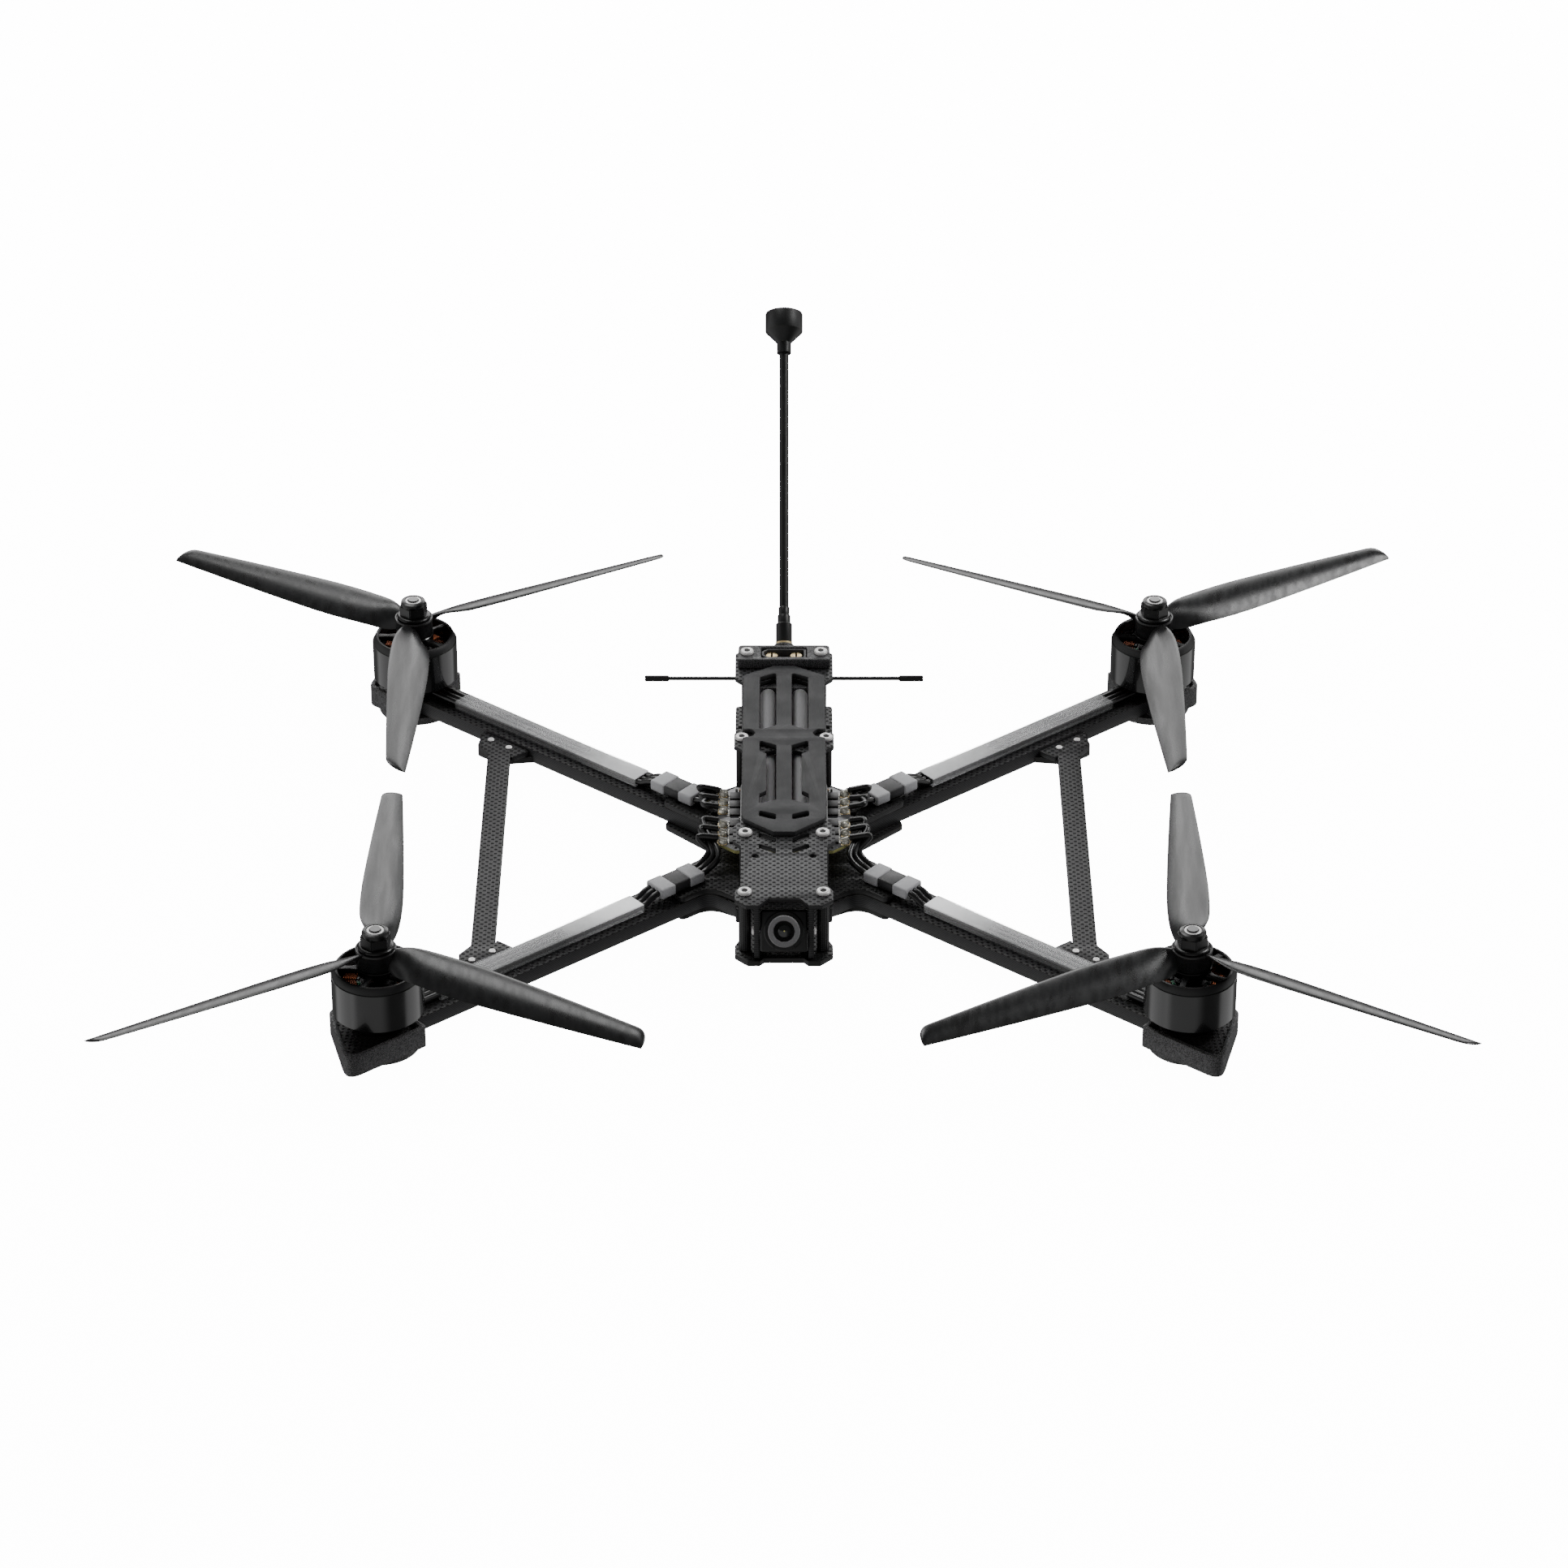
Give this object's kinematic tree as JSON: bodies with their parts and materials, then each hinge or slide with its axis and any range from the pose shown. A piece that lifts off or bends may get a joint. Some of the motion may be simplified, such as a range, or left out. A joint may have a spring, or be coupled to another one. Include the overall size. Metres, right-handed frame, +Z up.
{
  "type": "quadcopter drone",
  "caption": "Carbon-frame FPV quadcopter with three-bladed propellers on open motors, a tilting camera, a battery pad on top and antennas at the rear.",
  "frame": {"origin": "on the ground under the point where the diagonals between the motor axes cross", "axes": "+X sideways, to the right for someone who stands in front of the drone and faces its camera (the aircraft's own left), +Y towards the tail, +Z up; the camera looks along -Y. Left and right in the names of nodes and bodies are as seen from the front: left is -X, right is +X"},
  "size_m": [0.5499, 0.4392, 0.1552],
  "materials": {
    "carbon_plate": "woven carbon fibre laminate, satin, with bare laminated edges",
    "carbon_arm": "thick carbon fibre laminate, layered satin edges",
    "printed_part": "printed flexible polymer, fine granular matte black",
    "motor_can": "black anodised aluminium, glossy",
    "motor_core": "laminated stator with copper windings on a black base",
    "prop_blade": "dark grey glass-filled nylon, satin",
    "nut_black": "blackened steel nut with a bright ring at the top",
    "spacer_metal": "black anodised spacer with a bright steel button-head screw",
    "pad_rubber": "soft dark grey sheet, matte, slightly textured",
    "circuit_board": "dark circuit board with tinned pads",
    "heat_sink": "black anodised finned housing",
    "wire_black": "black silicone wire jacket, soft gloss",
    "sleeve_clear": "thin frosted sleeve, half clear",
    "socket_black": "moulded socket with gilt split pins",
    "antenna_black": "moulded antenna, smooth satin, gilt ring at its base",
    "camera_case": "moulded camera case, satin",
    "lens_glass": "coated glass lens, dark"
  },
  "bodies": {
    "airframe": {"arm_front_left": "carbon_arm", "arm_front_right": "carbon_arm", "arm_rear_left": "carbon_arm", "arm_rear_right": "carbon_arm", "side_brace_left": "carbon_plate", "side_brace_right": "carbon_plate", "bottom_plate": "carbon_plate", "mid_plate": "carbon_plate", "top_plate": "carbon_plate", "standoff_nose_left": "spacer_metal", "standoff_nose_right": "spacer_metal", "standoff_shoulder_left": "spacer_metal", "standoff_shoulder_right": "spacer_metal", "standoff_ear_left": "spacer_metal", "standoff_ear_right": "spacer_metal", "standoff_tail_left": "spacer_metal", "standoff_tail_right": "spacer_metal", "motor_guard_front_left": "printed_part", "motor_guard_front_right": "printed_part", "motor_guard_rear_left": "printed_part", "motor_guard_rear_right": "printed_part", "motor_stator_front_left": "motor_core", "motor_stator_front_right": "motor_core", "motor_stator_rear_left": "motor_core", "motor_stator_rear_right": "motor_core", "esc_board": "circuit_board", "flight_controller": "circuit_board", "video_transmitter": "heat_sink", "power_lead_left": "wire_black", "power_lead_right": "wire_black", "battery_pad": "pad_rubber", "rear_mount": "printed_part", "battery_connector": "socket_black", "video_antenna": "antenna_black", "receiver_antenna": "wire_black", "camera_plate_left": "carbon_plate", "camera_plate_right": "carbon_plate", "motor_lead_front_left": "wire_black", "wire_sleeve_front_left": "sleeve_clear", "motor_lead_front_right": "wire_black", "wire_sleeve_front_right": "sleeve_clear", "motor_lead_rear_left": "wire_black", "wire_sleeve_rear_left": "sleeve_clear", "motor_lead_rear_right": "wire_black", "wire_sleeve_rear_right": "sleeve_clear"},
    "camera": {"fpv_camera": "camera_case", "camera_lens": "lens_glass"},
    "rotor_front_left": {"motor_bell_front_left": "motor_can", "propeller_front_left": "prop_blade", "prop_nut_front_left": "nut_black"},
    "rotor_front_right": {"motor_bell_front_right": "motor_can", "propeller_front_right": "prop_blade", "prop_nut_front_right": "nut_black"},
    "rotor_rear_left": {"motor_bell_rear_left": "motor_can", "propeller_rear_left": "prop_blade", "prop_nut_rear_left": "nut_black"},
    "rotor_rear_right": {"motor_bell_rear_right": "motor_can", "propeller_rear_right": "prop_blade", "prop_nut_rear_right": "nut_black"}
  },
  "joints": [
    {"name": "spin_front_left", "type": "hinge", "parent": "airframe", "child": "rotor_front_left", "pos_m": [-0.1645, -0.1361, 0.0386], "axis": [0, 0, 1], "continuous": true},
    {"name": "spin_front_right", "type": "hinge", "parent": "airframe", "child": "rotor_front_right", "pos_m": [0.1645, -0.1361, 0.0386], "axis": [0, 0, 1], "continuous": true},
    {"name": "spin_rear_left", "type": "hinge", "parent": "airframe", "child": "rotor_rear_left", "pos_m": [-0.1645, 0.1361, 0.0386], "axis": [0, 0, 1], "continuous": true},
    {"name": "spin_rear_right", "type": "hinge", "parent": "airframe", "child": "rotor_rear_right", "pos_m": [0.1645, 0.1361, 0.0386], "axis": [0, 0, 1], "continuous": true},
    {"name": "camera_tilt", "type": "hinge", "parent": "airframe", "child": "camera", "pos_m": [0, -0.09, 0.0251], "axis": [-1, 0, 0], "range_deg": [-31, 19]}
  ]
}
